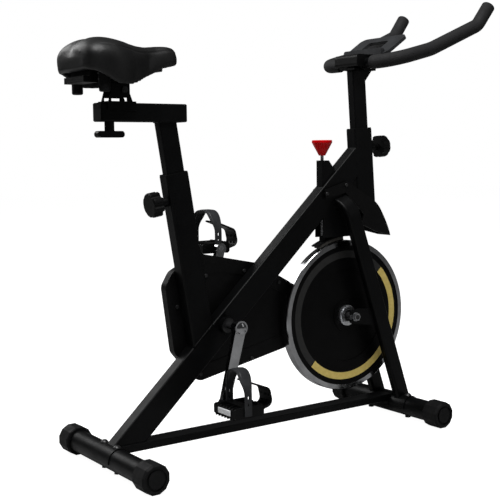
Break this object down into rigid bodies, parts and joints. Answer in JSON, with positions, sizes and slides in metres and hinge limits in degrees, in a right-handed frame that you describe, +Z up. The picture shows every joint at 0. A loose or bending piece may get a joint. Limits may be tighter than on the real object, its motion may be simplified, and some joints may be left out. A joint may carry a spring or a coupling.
{
  "type": "indoor spin bike",
  "caption": "Indoor exercise bike: heavy front flywheel in a fork, diagonal beam frame, sliding saddle, height-adjustable handlebar, belt drive and a screw-down felt brake.",
  "frame": {"origin": "on the floor, on the bike's middle plane, halfway between the saddle's tail and the handlebar tips", "axes": "+X forward, from the saddle to the handlebar; +Y to the rider's left, where the belt guard is; +Z up"},
  "size_m": [1.1149, 0.402, 1.0697],
  "materials": {
    "frame_black": "near-black satin powder coat on welded steel tube",
    "wheel_black": "cast iron with smooth black paint",
    "chrome": "polished chrome plate",
    "steel_bare": "zinc plated steel",
    "steel_dark": "black oxide steel",
    "aluminium": "turned aluminium",
    "plastic_black": "fine grained black plastic",
    "plastic_grey": "dark grey plastic with a light sheen",
    "plastic_red": "glossy red plastic",
    "rubber_black": "black moulded rubber",
    "foam_black": "black closed cell foam",
    "belt_rubber": "ribbed drive belt",
    "saddle_vinyl": "black vinyl with fine grain",
    "felt": "pressed felt"
  },
  "bodies": {
    "frame": {"diagonal_beam": "frame_black", "seat_tube": "frame_black", "head_tube": "frame_black", "bottom_rail": "frame_black", "fork_crown": "frame_black", "fork_legs": "frame_black", "axle_brackets": "frame_black", "stabilizers": "frame_black", "stabilizer_saddles": "frame_black", "foot_caps": "rubber_black", "stabilizer_bolts": "steel_bare", "bottom_bracket_shell": "frame_black", "sealed_bearings": "steel_dark", "post_sleeves": "plastic_black", "belt_guard_inner": "plastic_black", "belt_guard_outer": "plastic_black", "guard_screws": "steel_dark", "sweat_guard": "plastic_black", "flywheel_axle": "steel_dark", "axle_nuts": "steel_bare", "drive_belt": "belt_rubber", "brake_tube": "frame_black", "brake_spring": "steel_bare"},
    "flywheel": {"flywheel_rim": "chrome", "flywheel_disc": "wheel_black", "flywheel_hub": "aluminium", "driven_pulley": "aluminium"},
    "crankset": {"crank_spindle": "steel_dark", "crank_arms": "chrome", "crank_bolts": "chrome", "drive_pulley": "aluminium", "pedal_spindles": "steel_bare"},
    "pedal_right": {"pedal_right_body": "plastic_black", "pedal_right_cage": "plastic_black", "pedal_right_strap": "rubber_black"},
    "pedal_left": {"pedal_left_body": "plastic_black", "pedal_left_cage": "plastic_black", "pedal_left_strap": "rubber_black"},
    "seat_height_post": {"seat_post": "frame_black", "seat_slider": "frame_black", "slider_plugs": "plastic_black"},
    "saddle_slide": {"saddle_carriage": "frame_black", "tilt_bolt": "steel_bare"},
    "slider_clamp": {"slider_knob": "plastic_black"},
    "saddle": {"saddle_clamp": "frame_black", "saddle_rails": "steel_bare", "saddle_pan": "plastic_black", "saddle_pad": "saddle_vinyl", "saddle_bumpers": "rubber_black"},
    "handlebar_set": {"handlebar_post": "frame_black", "handlebar": "frame_black", "handlebar_grips": "foam_black", "center_cover": "plastic_black", "tablet_holder": "plastic_grey"},
    "seat_pin": {"seat_post_knob": "plastic_black"},
    "handlebar_pin": {"handlebar_knob": "plastic_black"},
    "brake_press_rod": {"brake_rod": "steel_bare"},
    "brake_dial": {"brake_knob": "plastic_red"},
    "brake_shoe_set": {"brake_shoe": "frame_black", "brake_pad": "felt"}
  },
  "joints": [
    {"name": "flywheel_spin", "type": "hinge", "parent": "frame", "child": "flywheel", "pos_m": [0.19, 0, 0.28], "axis": [0, 1, 0], "continuous": true},
    {"name": "crank_spin", "type": "hinge", "parent": "frame", "child": "crankset", "pos_m": [-0.183, 0, 0.296], "axis": [0, 1, 0], "continuous": true},
    {"name": "pedal_right_spin", "type": "hinge", "parent": "crankset", "child": "pedal_right", "pos_m": [-0.22829, 0, 0.12696], "axis": [0, 1, 0], "continuous": true},
    {"name": "pedal_left_spin", "type": "hinge", "parent": "crankset", "child": "pedal_left", "pos_m": [-0.13771, 0, 0.46504], "axis": [0, 1, 0], "continuous": true},
    {"name": "seat_height", "type": "slide", "parent": "frame", "child": "seat_height_post", "axis": [-0.1633, 0, 0.9866], "range_m": [-0.1, 0.1]},
    {"name": "saddle_fore_aft", "type": "slide", "parent": "seat_height_post", "child": "saddle_slide", "axis": [1, 0, 0], "range_m": [-0.009, 0.07]},
    {"name": "slider_clamp_turn", "type": "hinge", "parent": "saddle_slide", "child": "slider_clamp", "pos_m": [-0.4645, 0, 0.75], "axis": [0, 0, 1], "range_deg": [-90, 90]},
    {"name": "saddle_tilt", "type": "hinge", "parent": "saddle_slide", "child": "saddle", "pos_m": [-0.4365, 0, 0.8307], "axis": [0, 1, 0], "range_deg": [-8, 8]},
    {"name": "handlebar_height", "type": "slide", "parent": "frame", "child": "handlebar_set", "axis": [-0.0698, 0, 0.9976], "range_m": [-0.075, 0.05]},
    {"name": "seat_pin_pull", "type": "slide", "parent": "frame", "child": "seat_pin", "axis": [-0.9866, 0, -0.1633], "range_m": [0, 0.01], "stiffness_N_per_m": 900, "springref_m": -0.004},
    {"name": "handlebar_pin_pull", "type": "slide", "parent": "frame", "child": "handlebar_pin", "axis": [0.9976, 0, 0.0698], "range_m": [0, 0.01], "stiffness_N_per_m": 900, "springref_m": -0.004},
    {"name": "brake_press", "type": "slide", "parent": "frame", "child": "brake_press_rod", "axis": [0, 0, 1], "range_m": [-0.002, 0], "stiffness_N_per_m": 2500, "springref_m": 0.006, "deforming": ["brake_spring"]},
    {"name": "brake_turn", "type": "hinge", "parent": "brake_press_rod", "child": "brake_dial", "pos_m": [0.121, 0, 0.7], "axis": [0, 0, 1], "range_deg": [0, 360]},
    {"name": "brake_feed", "type": "slide", "parent": "brake_press_rod", "child": "brake_shoe_set", "axis": [0, 0, -1], "range_m": [0, 0.0015]}
  ],
  "couplings": [
    {"joint": "crank_spin", "follows": "flywheel_spin", "ratio": 0.30824},
    {"joint": "brake_feed", "follows": "brake_turn", "m_per_rad": 0.00023873}
  ]
}
